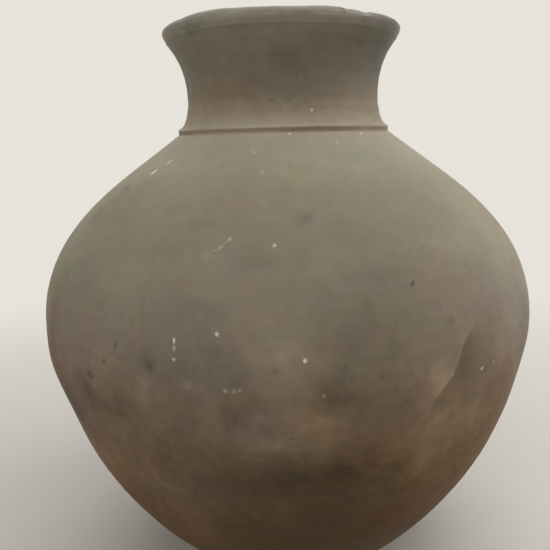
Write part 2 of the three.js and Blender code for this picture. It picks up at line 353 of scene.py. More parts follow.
# Soft clouds: angle from the front, height in mm, half sizes across and up in mm, lean in degrees,
# tint and how much of it
smokeClouds = [
    (-46, 196, 22, 26, 0, "mauve", 0.55),
    (-18, 206, 15, 11, 10, "mauve", 0.6),
    (-13, 191, 11, 9, 0, "slate", 0.55),
    (-21, 188, 10, 8, 0, "mauve", 0.4),
    (2, 204, 11, 14, 0, "khaki", 0.45),
    (10, 204, 9, 9, 0, "mauve", 0.4),
    (-8, 214, 8, 24, 0, "rose", 0.4),
    (30, 224, 18, 12, 0, "rose", 0.45),
    (36, 208, 20, 18, 0, "rose", 0.45),
    (58, 193, 12, 20, 0, "slate", 0.75),
    (8, 178, 9, 6, 0, "soot", 0.42),
    (-10, 163, 6, 4, 0, "soot", 0.25),
    (-12, 186, 8, 7, 0, "slate", 0.4),
    (12, 157, 12, 8, 0, "khaki", 0.25),
    (0, 124, 44, 13, 3, "soot", 0.45),
    (8, 130.5, 9, 5, 0, "soot", 0.65),
    (0, 129, 8, 5, 0, "soot", 0.5),
    (-9, 129, 7, 4, 0, "rust", 0.3),
    (-2, 150, 15, 4.5, -5, "ash", 0.14),
    (-12, 150, 24, 16, 0, "smoke", 0.25),
    (-8, 166, 20, 9, 0, "smoke", 0.2),
    (-12, 112, 26, 12, 0, "smoke", 0.25),
    # these warm clouds low on the sides are painted light reflected from the floor
    (44, 124, 18, 26, 0, "ember", 0.35),
    (45, 88, 40, 24, 0, "ember", 0.5),
    (14, 88, 20, 18, 0, "ember", 0.3),
    (52, 158, 18, 16, 0, "ember", 0.3),
    (-62, 158, 20, 20, 0, "ember", 0.25),
    (-56, 92, 22, 20, 0, "ember", 0.45),
    (-5.4, 162, 5, 2.5, 0, "ash", 0.22),
    (-9.3, 155, 5, 3, 0, "slate", 0.4),
    (-26.5, 174, 4, 9, 0, "ash", 0.14),
    (-28, 164, 5, 6, 25, "ash", 0.14),
    (-34, 158, 9, 9, 20, "soot", 0.3),
    (-43, 160, 11, 8, 0, "soot", 0.2),
    (-25, 140, 6, 6, 0, "soot", 0.25),
    (-19, 128, 8, 5, 0, "moss", 0.25),
    (-25.5, 184, 5, 6, 0, "soot", 0.3),
    (-58, 268, 8, 7, 35, "paleMoss", 0.5),
    (-57, 260, 6, 6, 35, "moss", 0.55),
    (-60, 250, 7, 8, 30, "moss", 0.5),
    (-56, 217, 7, 7, 0, "moss", 0.8),
    (-57, 206, 7, 5, 0, "moss", 0.6),
    (-47, 213, 9, 8, 0, "moss", 0.35),
    (-48, 264, 6, 5, 0, "rose", 0.4),
    (22, 287.7, 3, 4, 0, "ash", 0.5),
    (22.5, 282, 5, 7, 0, "paleMoss", 0.45),
    (21.4, 272, 3, 8, -20, "paleMoss", 0.45),
    (13.5, 279, 7, 5, 0, "paleMoss", 0.35),
    (37, 288, 4, 4, 0, "paleMoss", 0.4),
    (3, 252, 5, 3, 20, "moss", 0.55),
    (2.5, 238, 5, 5, 0, "moss", 0.4),
    (-19, 258, 6, 6, 0, "rose", 0.3),
    (-11, 249, 14, 12, 0, "khaki", 0.55),
    (-29, 255, 5, 3, 0, "slate", 0.4),
    (18, 195, 7, 6, 0, "moss", 0.5),
    (8.5, 189, 7, 6, 0, "moss", 0.4),
    (13, 214, 4, 5, 0, "moss", 0.4),
    (20, 180, 12, 12, 0, "rose", 0.3),
    (44, 182, 12, 16, 0, "khaki", 0.3),
    (50, 214, 12, 12, 0, "rose", 0.3),
    (-50, 158, 16, 9, 0, "rust", 0.3),
    (48, 150, 14, 14, 0, "rust", 0.35),
    (-20, 322, 19, 8, 0, "rust", 0.5),
    (-34, 309, 14, 5, 0, "khaki", 0.3),
    (20, 320, 16, 10, 0, "mauve", 0.25),
    (-43, 354, 7, 3, 0, "moss", 0.4),
    (5, 356, 9, 2.5, 0, "khaki", 0.3),
]

# Where the fire left the clay lighter (plus) or darker (minus), with painted light and shade among them:
# the right side and the lip's band are painted lighter where the light falls, and the left side, the neck
# under the lip, the nick in the crown and the low edges are painted darker as shade. Each is angle,
# height in mm, half sizes across and up in mm, lean in degrees, change
fireAndLightShades = [
    (-3.5, 200, 15, 13, 0, 0.18),
    (-3, 182, 13, 11, 0, 0.20),
    (3, 159, 13, 10, 0, 0.42),
    (-4, 147, 14, 6, 0, 0.22),
    (3, 112, 22, 20, 0, -0.13),
    (8, 82, 44, 18, 0, -0.26),
    (21, 176, 16, 20, 0, 0.18),
    (28, 166, 9, 12, 0, 0.45),
    (26, 142, 21, 17, 0, 0.49),
    (28, 120, 17, 12, 0, 0.42),
    (59, 235, 28, 36, 0, 0.33),
    (40, 236, 14, 9, 0, 0.15),
    (46, 252, 20, 14, 0, 0.05),
    (48, 182, 12, 14, 0, 0.20),
    (52, 152, 10, 8, 0, -0.14),
    (-62, 172, 17, 22, 0, -0.38),
    (-52, 147, 21, 15, 0, -0.44),
    (-36, 160, 15, 11, 0, -0.26),
    (-24, 180, 19, 14, 0, -0.17),
    (-20, 156, 8, 8, 0, -0.12),
    (-50, 248, 20, 12, 0, -0.13),
    (-21, 246, 9, 8, 0, -0.14),
    (-27, 235, 9, 7, 0, -0.12),
    (-7, 236, 8, 5, 0, -0.14),
    (-14, 215, 8, 7, 0, -0.12),
    (-28, 205, 10, 10, 0, -0.12),
    (5.5, 232, 9, 3, -52, 0.10),
    (11, 245, 12, 6, 0, -0.10),
    (17, 226, 14, 6, 0, -0.08),
    (-58, 202, 14, 10, 0, -0.16),
    (-35, 222, 11, 8, 0, 0.09),
    (-25, 95, 15, 30, 0, 0.26),
    (-38, 115, 14, 13, 0, 0.26),
    (-45, 80, 12, 10, 0, -0.26),
    (12, 273, 24, 7, 0, 0.07),
    (-54, 275, 18, 8, 0, 0.08),
    (2, 346, 32, 7, 0, 0.22),
    # painted shade on the neck under the overhang of the lip
    (64, 341, 22, 13, 0, -0.40),
    (-20, 325, 22, 14, 0, -0.12),
    (-36, 314, 8, 4, 0, -0.12),
    (24, 306, 24, 4, 0, 0.10),
    (-48, 355, 26, 4, 0, -0.20),
    (52, 80, 28, 26, 0, -0.22),
    (36, 142, 12, 14, 0, 0.20),
    (3, 163, 9, 5, 0, 0.10),
    (0, 128, 22, 8, 0, -0.08),
    (58, 355, 18, 4, 0, -0.44),
    (-56, 158, 22, 32, 0, -0.19),
    (-44, 165, 8, 7, 0, -0.20),
    (-51, 132, 12, 11, 0, -0.22),
    (-14, 157, 6, 14, 0, 0.20),
    (-6, 146, 9, 8, 0, 0.17),
    (7, 162, 7, 6, 0, 0.24),
    (22, 148, 20, 10, 0, 0.14),
    (27, 118, 16, 20, 0, 0.23),
    (-29, 120, 8, 14, 0, 0.18),
    (-7, 104, 8, 12, 0, 0.20),
    (-24, 78, 16, 22, 0, 0.28),
    (40, 68, 14, 10, 0, -0.28),
    (48, 90, 8, 10, 0, -0.20),
    (-14, 118, 10, 10, 0, -0.08),
    (8, 337, 20, 11, 0, 0.12),
    (64, 342, 16, 10, 0, -0.08),
    (-62, 346, 16, 8, 0, -0.07),
    (-7, 358.5, 7, 2, 0, -0.12),
    # painted shadow in the nick of the crown
    (26.8, 358.9, 6, 1.0, 0, -0.42),
    (52, 180, 9, 12, 0, 0.14),
    (39, 142, 8, 12, 0, 0.14),
    (30, 124, 14, 8, 0, 0.12),
    (-57, 180, 8, 14, 0, -0.12),
    (-43, 164, 6, 6, 0, -0.14),
    (-54, 142, 8, 8, 0, -0.13),
    (-4, 169, 6, 6, 0, 0.10),
    (32, 231, 12, 9, 0, 0.15),
    (28, 354.6, 12, 2.4, 0, 0.12),
    (-11, 298, 12, 6, 0, 0.09),
    (28, 320, 12, 10, 0, 0.08),
    (34, 121, 26, 30, 0, 0.18),
    (42, 150, 10, 9, 0, 0.06),
    (-56, 140, 13, 15, 0, -0.20),
    (-57, 184, 8, 8, 0, -0.17),
    (-7, 158, 13, 14, 0, 0.10),
    (-1, 123, 10, 6, 0, 0.13),
    (-28, 116, 8, 8, 0, 0.09),
    (-6, 98, 10, 9, 0, 0.11),
    (-3, 173, 10, 6, 0, 0.09),
    (-60, 206, 12, 15, 0, 0.12),
    (24, 202, 14, 9, 0, 0.11),
    (28, 358.6, 7, 1.6, 0, -0.2),
    (-3.8, 196, 10, 7, 0, 0.07),
    (-17, 148.5, 9, 7, 0, 0.07),
    (-43, 108.5, 10, 9, 0, 0.07),
    (-6, 151, 6, 5, 0, -0.06),
    (35.5, 169, 10, 9, 0, 0.09),
    (27.5, 165, 4, 4, 0, 0.10),
    (25, 174, 5, 5, 0, -0.07),
    (20, 120, 8, 12, 0, 0.08),
    (14, 186, 6, 6, 0, 0.09),
]

# Where its colour turned, with painted warm light reflected from the floor among them, which makes the low
# sides redder and less blue: angle, height in mm, half sizes across and up in mm, lean in degrees,
# change of the red and change of the blue
fireAndBounceHues = [
    (-60, 158, 18, 34, 0, 0.14, -0.03),
    (-50, 138, 16, 14, 0, 0.10, 0.0),
    (-46, 108, 14, 14, 0, 0.10, -0.10),
    (-46, 78, 20, 18, 0, 0.18, -0.20),
    (-30, 110, 20, 22, 0, -0.03, 0.13),
    (-14, 150, 30, 30, 0, -0.03, 0.06),
    (44, 172, 12, 24, 0, 0.08, 0.0),
    (50, 145, 16, 18, 0, 0.14, -0.08),
    (50, 108, 22, 20, 0, 0.16, -0.26),
    (44, 74, 40, 18, 0, 0.24, -0.42),
    (8, 72, 26, 14, 0, 0.05, -0.14),
    (26, 98, 16, 18, 0, 0.03, -0.08),
    (-42, 355, 16, 6, 0, -0.06, 0.0),
    (27, 169, 9, 10, 0, -0.02, 0.03),
    (0, 100, 32, 24, 0, -0.06, 0.0),
    (-20, 84, 14, 14, 0, -0.08, 0.05),
    (27, 125, 12, 24, 0, -0.09, 0.03),
    (-4, 137, 12, 8, 0, -0.08, 0.05),
    (-2, 145, 24, 8, 0, -0.03, 0.0),
    (4, 322, 20, 9, 0, -0.07, 0.0),
    (0, 347, 30, 6, 0, 0.0, 0.06),
    (-62, 168, 10, 30, 0, 0.08, -0.08),
    (-24, 112, 16, 20, 0, 0.0, 0.07),
    (-36, 116, 26, 16, 0, -0.02, 0.07),
    (50, 114, 18, 18, 0, 0.02, -0.08),
    (7, 126, 9, 5, 0, 0.0, -0.15),
    (-60, 210, 14, 14, 0, -0.04, -0.08),
    (-60, 160, 10, 14, 0, 0.06, -0.06),
    (16, 342, 24, 8, 0, -0.02, 0.05),
    (28, 185, 6, 8, 0, 0.03, 0.0),
    (35.5, 169, 9, 9, 0, 0.03, -0.02),
    (50, 138, 14, 28, 0, -0.025, 0.01),
    (-50, 164, 12, 14, 0, 0.03, 0.02),
]

# How the edge of a patch wanders and how it fades
patchEdge = {
    "broad": 7, "broadSize": 14 * mm,        # wander in mm, and the size of its waves
    "fine": 2.5, "fineSize": 5 * mm,
    "smallPatch": 9,                         # mm, a patch with a smaller half size wanders less
    "reach": 1.15,                           # half sizes from the middle at which it has mostly faded
    "cloudFall": 2.6, "changeFall": 2.2,     # how steeply
    "softGrow": 0.5, "softWander": 0.08,     # mm, and share of the wander, for soft marks
}
sidesFrom, sidesFade = 60, 12                # degrees, where scattered specks begin


def patchMask(angle, run, patch, warp, fall):
    # 1 in the middle of a patch given as angle, height, half sizes and lean, with a wandering edge
    small = min(1.0, min(patch[2], patch[3]) / patchEdge["smallPatch"])
    spread = patchSpread(angle, run, patch[:4], patch[4], (warp[0] * small, warp[1] * small))
    return np.exp(-(spread / patchEdge["reach"]) ** fall)[:, None]


def storeValues(mesh, values):
    for name, value in values.items():
        layer = mesh.attributes.new(name, "FLOAT", "POINT")
        layer.data.foreach_set("value", value.astype(np.float32))


def paintClay(piece, angle, run, height, inside):
    # base tone by height, then the clouds and what the fire changed, painted light and shade among them, as a
    # colour attribute
    levels = [level * mm for level, tone in clayAndLightTones]
    colour = np.stack([np.interp(height, levels, [tone[c] for level, tone in clayAndLightTones])
                       for c in range(3)], axis=1)
    mesh = piece.data
    points = pointsOf(mesh)
    warp = [patchEdge["broad"] * drift(points, patchEdge["broadSize"], seed)
            + patchEdge["fine"] * drift(points, patchEdge["fineSize"], seed + 1)
            for seed in driftSeeds["cloudEdges"]]
    for *patch, tint, amount in smokeClouds:
        mask = patchMask(angle, run, patch, warp, patchEdge["cloudFall"])
        colour += (np.array(clayTints[tint]) - colour) * amount * mask
    # patches of the fire's tone, and painted light and shade
    for *patch, change in fireAndLightShades:
        colour *= 1 + change * patchMask(angle, run, patch, warp, patchEdge["changeFall"])
    # hue changes of the fire, and painted warm light reflected from the floor
    for *patch, red, blue in fireAndBounceHues:
        mask = patchMask(angle, run, patch, warp, patchEdge["changeFall"])
        colour *= 1 + np.array((red, 0, blue)) * mask
    paintSoftMarks(colour, angle, run, warp)
    rgba = np.concatenate([colour, np.ones((len(colour), 1))], axis=1)
    layer = mesh.color_attributes.new("clayAndLightColour", "FLOAT_COLOR", "POINT")
    layer.data.foreach_set("color", rgba.astype(np.float32).reshape(-1))
    aside = np.clip((np.abs(angle) - sidesFrom) / sidesFade, 0, 1)
    storeValues(mesh, {"within": inside, "aside": aside})


# Flame mark: its crisp right edge runs down from the shoulder of the mark, as angle and height in mm
flameMark = {
    "edge": [(36.0, 199), (34.6, 195), (32.9, 192), (31.9, 188), (31.1, 183), (30.2, 178),
             (28.9, 172.5), (27.2, 168), (25.8, 163), (24.6, 157)],
    "paleWidth": 26.0,        # mm, to the left of the edge
    "darkWidth": 22.0,        # mm, to the right of it
    "reach": 30.0,            # mm, past which nothing is painted
    "fadeIn": 0.22, "fadeOut": 0.25,      # shares of the edge's length, at its top and foot
}


def paintFlame(piece, angle, run):
    # signed distance in mm to the edge (plus on the pale side), and how strong the mark is there
    girthUnit = math.radians(1) * bodyShape["bellyRadius"] / mm
    path = np.array([(a * girthUnit, runAt(h * mm) / mm) for a, h in flameMark["edge"]])
    place = np.stack([angle * girthUnit, run / mm], axis=1)
    nearest = np.full(len(place), np.inf)
    signed = np.zeros(len(place))
    share = np.zeros(len(place))
    for index, (start, end) in enumerate(zip(path[:-1], path[1:])):
        way = end - start
        along = np.clip(((place - start) @ way) / (way @ way), 0, 1)
        gap = place - start - along[:, None] * way
        distance = np.hypot(gap[:, 0], gap[:, 1])
        side = np.sign(way[0] * gap[:, 1] - way[1] * gap[:, 0])
        closer = distance < nearest
        nearest = np.where(closer, distance, nearest)
        signed = np.where(closer, -side * distance, signed)
        share = np.where(closer, (index + along) / (len(path) - 1), share)
    fade = np.clip(share / flameMark["fadeIn"], 0, 1) * np.clip((1 - share) / flameMark["fadeOut"], 0, 1)
    reach = flameMark["reach"]
    storeValues(piece.data, {"flameEdge": np.clip(signed, -reach, reach),
                             "flameFade": fade * (nearest < reach)})


# Small marks on the outside: angle, height in mm, half sizes across and up in mm, lean, strength
paleMarks = [
    (-20.6, 198.2, 0.7, 1.5, 0, 0.9), (-20.5, 194.9, 0.9, 1.7, 0, 0.5), (-20.6, 189.5, 0.9, 0.9, 35, 0.75),
    (-12.8, 202.7, 1.0, 1.1, 20, 0.85), (-13.7, 203.4, 0.3, 0.3, 0, 0.5),
    (1.9, 190.9, 1.0, 1.2, 0, 1.0), (2.0, 192.8, 1.2, 0.3, 20, 0.25),
    (-18.3, 178.0, 2.0, 1.8, 20, 0.34), (-26.3, 172.5, 1.5, 4.2, 10, 0.12),
    (-11.4, 176.3, 1.1, 1.1, 0, 0.5), (-9.9, 176.4, 1.6, 1.0, 10, 0.35), (-8.9, 177.0, 0.8, 0.8, 30, 0.45),
    (5.0, 173.6, 0.9, 1.2, 0, 0.4), (-3.8, 200.2, 1.6, 2.0, 0, 0.25), (-1.6, 191.0, 2.4, 2.2, 30, 0.18),
    (37.4, 173.0, 1.5, 1.0, 0, 0.8), (41.4, 173.7, 1.2, 0.9, 0, 0.55), (29.4, 175.3, 0.9, 1.4, -30, 0.4),
    (18.9, 173.3, 1.7, 0.9, -35, 0.3), (25.8, 134.7, 2.4, 0.8, 0, 0.22), (11.0, 184.5, 2.0, 0.8, 0, 0.15),
    (-28.4, 202.9, 0.8, 3.0, 0, 0.2), (-27.0, 214.0, 0.5, 1.6, 0, 0.12), (25.0, 207.0, 1.4, 0.7, 10, 0.25),
    (3.1, 217.7, 1.4, 1.2, 0, 0.2), (-3.1, 240.4, 1.0, 1.1, 30, 0.7),
    (-16.6, 236.2, 1.8, 1.2, 0, 0.3), (-14.2, 239.6, 1.6, 0.8, 38, 0.42), (-12.5, 243.2, 1.3, 1.1, 38, 0.48),
    (-13.4, 241.4, 0.9, 0.5, 30, 0.36), (-15.3, 238.2, 0.8, 0.6, 20, 0.36),
    (-5.9, 258.8, 1.4, 1.4, 0, 0.25), (-7.6, 273.3, 0.7, 2.2, 20, 0.35), (-12.2, 283.5, 2.2, 0.8, -35, 0.4),
    (1.9, 265.8, 1.3, 1.2, 0, 0.25), (-49.3, 247.8, 1.0, 1.1, 0, 0.3),
    (-51.5, 273.1, 1.1, 3.0, -40, 0.95), (-48.5, 278.6, 1.0, 2.6, -40, 0.75),
    (-28.7, 254.8, 2.2, 1.4, 0, 0.2), (-23.4, 246.1, 2.2, 1.4, 20, 0.18), (22.0, 287.7, 1.2, 1.3, 0, 0.4),
    (2.2, 292.9, 1.0, 0.8, 20, 0.85), (38.6, 292.3, 1.0, 0.8, 20, 0.8),
    (14.4, 305.9, 0.8, 0.8, 0, 0.7), (21.2, 335.1, 0.7, 0.5, 0, 0.4), (-31.7, 335.4, 0.8, 1.0, 0, 0.25),
    (-68.0, 321.0, 0.4, 2.0, 0, 0.4), (9.0, 324.0, 0.6, 2.4, 0, 0.12), (43.0, 296.0, 4.0, 1.0, 0, 0.3),
    # the three marks on the lip are painted highlights along its arris
    (36.8, 356.0, 7.0, 0.5, 4, 0.45), (17.5, 355.2, 8.0, 0.5, 0, 0.42), (-5.5, 355.4, 4.0, 0.6, -1, 0.38),
]
darkMarks = [
    (22.8, 220.6, 2.2, 0.9, 38, 0.75), (-33.3, 191.5, 1.3, 2.4, 5, 0.5), (-36.3, 182.1, 1.7, 1.6, 15, 0.65),
    (-41.0, 172.2, 3.0, 2.5, -20, 0.75), (-41.6, 173.4, 1.8, 1.3, 10, 0.5),
    (-25.5, 184.3, 2.2, 3.4, 10, 0.35), (29.6, 201.0, 2.2, 2.6, 10, 0.34),
    (13.0, 213.8, 1.6, 2.4, 0, 0.16), (15.7, 218.5, 1.6, 1.6, 0, 0.12), (-3.2, 187.0, 1.2, 1.6, 0, 0.25),
    # the first two are painted shadows just under two pale crumbs on the shoulder
    (2.9, 292.3, 0.6, 0.4, 0, 0.6), (39.2, 291.7, 0.6, 0.4, 0, 0.6), (15.0, 181.0, 1.6, 1.6, 0, 0.3),
    (27.4, 161.0, 5.0, 3.0, 30, 0.3), (-12.0, 168.0, 2.0, 2.0, 0, 0.2), (-60.0, 264.0, 1.6, 1.0, 0, 0.35),
    (4.0, 251.5, 3.0, 1.2, 25, 0.3), (0.0, 151.6, 3.6, 0.35, -18, 0.5), (-24.2, 133.0, 1.4, 1.4, 0, 0.3),
    (2.0, 311.5, 2.0, 0.5, 0, 0.3), (-6.0, 311.8, 1.6, 0.5, 0, 0.3), (12.0, 311.0, 3.0, 0.6, 0, 0.25),
]
# Marks at least this strong are drawn crisp by the material, and the weaker ones are painted softly
crispFrom = 0.35

# Clouds round the sides and the back: angles, heights in mm, half size across in mm, how flat they are,
# lean in degrees, and amount of tint
backClouds = {"seed": 23, "count": 34, "angles": (76, 284), "heights": (25, 288), "across": (8, 30),
              "flatness": (0.4, 1.0), "lean": (-40, 40), "amount": (0.25, 0.6),
              "tints": ("mauve", "slate", "rose", "khaki", "rust", "moss", "paleMoss", "soot", "olive")}


def addBackClouds():
    dice = np.random.default_rng(backClouds["seed"])
    for index in range(backClouds["count"]):
        tint = backClouds["tints"][index % len(backClouds["tints"])]
        across = dice.uniform(*backClouds["across"])
        smokeClouds.append((dice.uniform(*backClouds["angles"]), dice.uniform(*backClouds["heights"]),
                            across, across * dice.uniform(*backClouds["flatness"]),
                            dice.uniform(*backClouds["lean"]), tint, dice.uniform(*backClouds["amount"])))


addBackClouds()


def paintSoftMarks(colour, angle, run, warp):
    # the weaker marks are wide and soft, so they go into the painted colour
    grow, wander = patchEdge["softGrow"], patchEdge["softWander"]
    for marks, tint in ((paleMarks, "ash"), (darkMarks, "soot")):
        for middle, level, across, up, lean, strength in marks:
            if strength < crispFrom:
                spread = patchSpread(angle, run, (middle, level, across + grow, up + grow), lean,
                                     (warp[0] * wander, warp[1] * wander))
                mask = strength * np.exp(-spread ** 2)
                colour += (np.array(clayTints[tint]) - colour) * mask[:, None]


def addNode(tree, kind, settings=None, **inputs):
    # a node with its settings, and its inputs given by name, or by number as i0 and i1, each as a value
    # or as a socket to link from
    node = tree.nodes.new(kind)
    for name, value in (settings or {}).items():
        setattr(node, name, value)
    for name, value in inputs.items():
        key = int(name[1:]) if name[0] == "i" and name[1:].isdigit() else name.replace("_", " ")
        if isinstance(value, bpy.types.NodeSocket):
            tree.links.new(value, node.inputs[key])
        else:
            node.inputs[key].default_value = value
    return node


def mathOf(tree, operation, first, second=0.0, third=0.0, clamp=False):
    return addNode(tree, "ShaderNodeMath", {"operation": operation, "use_clamp": clamp},
                   i0=first, i1=second, i2=third).outputs[0]


def mixColour(tree, factor, first, second, blend="MIX"):
    node = addNode(tree, "ShaderNodeMix", {"data_type": "RGBA", "blend_type": blend}, i0=factor)
    for key, value in ((6, first), (7, second)):
        if isinstance(value, bpy.types.NodeSocket):
            tree.links.new(value, node.inputs[key])
        else:
            node.inputs[key].default_value = (*value, 1)
    return node.outputs[2]


def ramp(tree, value, low, high, toLow=0.0, toHigh=1.0, kind="SMOOTHSTEP"):
    node = addNode(tree, "ShaderNodeMapRange", {"interpolation_type": kind}, Value=value)
    node.inputs["From Min"].default_value = low
    node.inputs["From Max"].default_value = high
    node.inputs["To Min"].default_value = toLow
    node.inputs["To Max"].default_value = toHigh
    return node.outputs["Result"]


def noiseOf(tree, vector, scale, detail=2.0, roughness=0.5, output="Fac"):
    return addNode(tree, "ShaderNodeTexNoise", Vector=vector, Scale=scale, Detail=detail,
                   Roughness=roughness).outputs[output]


def vectorMath(tree, operation, *values, output=0):
    inputs = {"i" + str(index): value for index, value in enumerate(values)}
    return addNode(tree, "ShaderNodeVectorMath", {"operation": operation}, **inputs).outputs[output]


def attributeOf(tree, name, output="Fac"):
    return addNode(tree, "ShaderNodeAttribute", {"attribute_name": name}).outputs[output]


def seenDirectly(tree):
    # 1 for what the camera sees, also in a gloss or through glass
    path = addNode(tree, "ShaderNodeLightPath").outputs
    return mathOf(tree, "MAXIMUM", path["Is Camera Ray"],
                  mathOf(tree, "MAXIMUM", path["Is Glossy Ray"], path["Is Transmission Ray"]))


def newGroup(name, inputs, outputs):
    tree = bpy.data.node_groups.new(name, "ShaderNodeTree")
    for label, kind, value in inputs:
        socket = tree.interface.new_socket(label, in_out="INPUT", socket_type=kind)
        if value is not None:
            socket.default_value = value
    for label, kind in outputs:
        tree.interface.new_socket(label, in_out="OUTPUT", socket_type=kind)
    start = tree.nodes.new("NodeGroupInput")
    end = tree.nodes.new("NodeGroupOutput")
    return tree, start.outputs, end.inputs


# Scales of the grain, in waves or cells to the metre
clayGrain = {
    "toothScale": 1500, "coarseScale": 420, "coarseShare": 0.8,
    "pitScale": 260.0, "pitSize": (0.10, 0.26), "pitGateScale": 150, "pitGate": (0.64, 0.72),
    "dragStretch": (60, 60, 900),        # drag lines lie level, round the vase
}


def clayGrainGroup():
    # fine tooth, pits and drag lines of burnished clay, as a height about 0 to 1
    tree, given, out = newGroup(
        "clayGrain",
        [("Vector", "NodeSocketVector", None), ("Tooth", "NodeSocketFloat", 1.0),
         ("Pits", "NodeSocketFloat", 1.0), ("Drag", "NodeSocketFloat", 1.0)],
        [("Height", "NodeSocketFloat"), ("Pit Mask", "NodeSocketFloat"), ("Tooth Mask", "NodeSocketFloat")])
    vector = given["Vector"]
    tooth = noiseOf(tree, vector, clayGrain["toothScale"], detail=3, roughness=0.6)
    coarse = noiseOf(tree, vector, clayGrain["coarseScale"])
    cells = addNode(tree, "ShaderNodeTexVoronoi", Vector=vector,
                    Scale=clayGrain["pitScale"]).outputs["Distance"]
    gate = ramp(tree, noiseOf(tree, vector, clayGrain["pitGateScale"], detail=1), *clayGrain["pitGate"])
    pits = mathOf(tree, "MULTIPLY", ramp(tree, cells, *clayGrain["pitSize"], toLow=1, toHigh=0), gate)
    level = addNode(tree, "ShaderNodeMapping", Vector=vector, Scale=clayGrain["dragStretch"]).outputs[0]
    drag = noiseOf(tree, level, 1.0, detail=2, roughness=0.6)
    height = mathOf(tree, "MULTIPLY", tooth, given["Tooth"])
    rough = mathOf(tree, "MULTIPLY", given["Tooth"], clayGrain["coarseShare"])
    height = mathOf(tree, "MULTIPLY_ADD", coarse, rough, height)
    height = mathOf(tree, "MULTIPLY_ADD", drag, given["Drag"], height)
    height = mathOf(tree, "SUBTRACT", height, mathOf(tree, "MULTIPLY", pits, given["Pits"]))
    tree.links.new(height, out["Height"])
    tree.links.new(pits, out["Pit Mask"])
    tree.links.new(tooth, out["Tooth Mask"])
    return tree


# Clouds of tone: scale, detail, roughness, whether the pattern is warped, and how far it swings
clayMottle = {
    "broad": (26, 3, 0.55, True, 0.35),
    "middle": (85, 3, 0.6, True, 0.5),
    "patchy": (170, 2, 0.55, True, 0.4),
    "small": (330, 3, 0.6, False, 0.2),
    "noiseMiddle": (0.3, 0.7),           # the share of a noise that a swing is spread over
    "warpScale": 22.0, "warp": 0.02,     # metres
    "lowUneven": (0.12, 0.24, 2.3, 0.66),    # the smoke settled less evenly low down: heights in metres
    "footEven": (0.08, 0.11, 0.7, 1.0),
    "tintScale": 62, "tintFrom": (0.48, 0.7),
    "tintPlaces": {"Cool": 3.1, "Mauve": 7.7, "Warm": 12.9},
    "fleckScale": 620, "fleckFrom": (0.66, 0.76),
}


def clayMottleGroup():
    # slow clouds of tone, and masks for the green, mauve and warm tints of smoked clay
    tree, given, out = newGroup(
        "clayMottle",
        [("Vector", "NodeSocketVector", None), ("Tone", "NodeSocketFloat", 1.0)],
        [("Shade", "NodeSocketFloat"), ("Cool", "NodeSocketFloat"), ("Mauve", "NodeSocketFloat"),
         ("Warm", "NodeSocketFloat"), ("Fleck", "NodeSocketFloat")])
    vector = given["Vector"]
    shift = noiseOf(tree, vector, clayMottle["warpScale"], output="Color")
    warped = vectorMath(tree, "MULTIPLY_ADD", shift, (clayMottle["warp"],) * 3, vector)

    def swingOf(name):
        scale, detail, roughness, isWarped, swing = clayMottle[name]
        noise = noiseOf(tree, warped if isWarped else vector, scale, detail, roughness)
        return ramp(tree, noise, *clayMottle["noiseMiddle"], -swing, swing, "LINEAR")

    shade = mathOf(tree, "ADD", swingOf("broad"), swingOf("middle"))
    shade = mathOf(tree, "ADD", shade, swingOf("patchy"))
    level = addNode(tree, "ShaderNodeSeparateXYZ", Vector=vector).outputs["Z"]
    uneven = mathOf(tree, "MULTIPLY", ramp(tree, level, *clayMottle["lowUneven"]),
                    ramp(tree, level, *clayMottle["footEven"]))
    tone = mathOf(tree, "MULTIPLY", given["Tone"], uneven)
    shade = mathOf(tree, "MULTIPLY_ADD", shade, tone, 1.0)
    tree.links.new(mathOf(tree, "MULTIPLY_ADD", swingOf("small"), given["Tone"], shade), out["Shade"])
    for label, offset in clayMottle["tintPlaces"].items():
        moved = vectorMath(tree, "ADD", warped, (offset,) * 3)
        tint = noiseOf(tree, moved, clayMottle["tintScale"], detail=4, roughness=0.65)
        tree.links.new(ramp(tree, tint, *clayMottle["tintFrom"]), out[label])
    fleck = noiseOf(tree, vector, clayMottle["fleckScale"], detail=2, roughness=0.7)
    tree.links.new(ramp(tree, fleck, *clayMottle["fleckFrom"]), out["Fleck"])
    return tree


# Small marks drawn crisp
clayMark = {
    "fade": (0.3, 1.4),      # shares of a mark's half size between which it fades out
    "depth": 8 * mm,         # how far it reaches into the clay
    "flattest": 0.3,         # the least rise of the surface that it is fitted to
    "overlap": 4,            # mm, how far past a piece its marks are still drawn on it
    "paleFall": 1.6,         # weak pale marks are paler still by this power
}


def clayMarkGroup():
    # one small mark: 1 in its middle, 0 outside; Turn is its angle round the axis and its lean
    tree, given, out = newGroup(
        "clayMark",
        [("Vector", "NodeSocketVector", None), ("Place", "NodeSocketVector", None),
         ("Turn", "NodeSocketVector", None), ("Size", "NodeSocketVector", None),
         ("Strength", "NodeSocketFloat", 1.0)],
        [("Mask", "NodeSocketFloat")])
    local = addNode(tree, "ShaderNodeMapping", {"vector_type": "TEXTURE"}, Vector=given["Vector"],
                    Location=given["Place"], Rotation=given["Turn"], Scale=given["Size"]).outputs[0]
    spread = vectorMath(tree, "LENGTH", local, output="Value")
    mask = ramp(tree, spread, *clayMark["fade"], toLow=1, toHigh=0)
    tree.links.new(mathOf(tree, "MULTIPLY", mask, given["Strength"]), out["Mask"])
    return tree


# Specks scattered over the sides and the back
claySpecks = {
    "scale": 58.0, "size": (0.02, 0.085),
    "palePart": (0.5, 0.52), "darkPart": (0.34, 0.32),     # which cells hold a speck
}


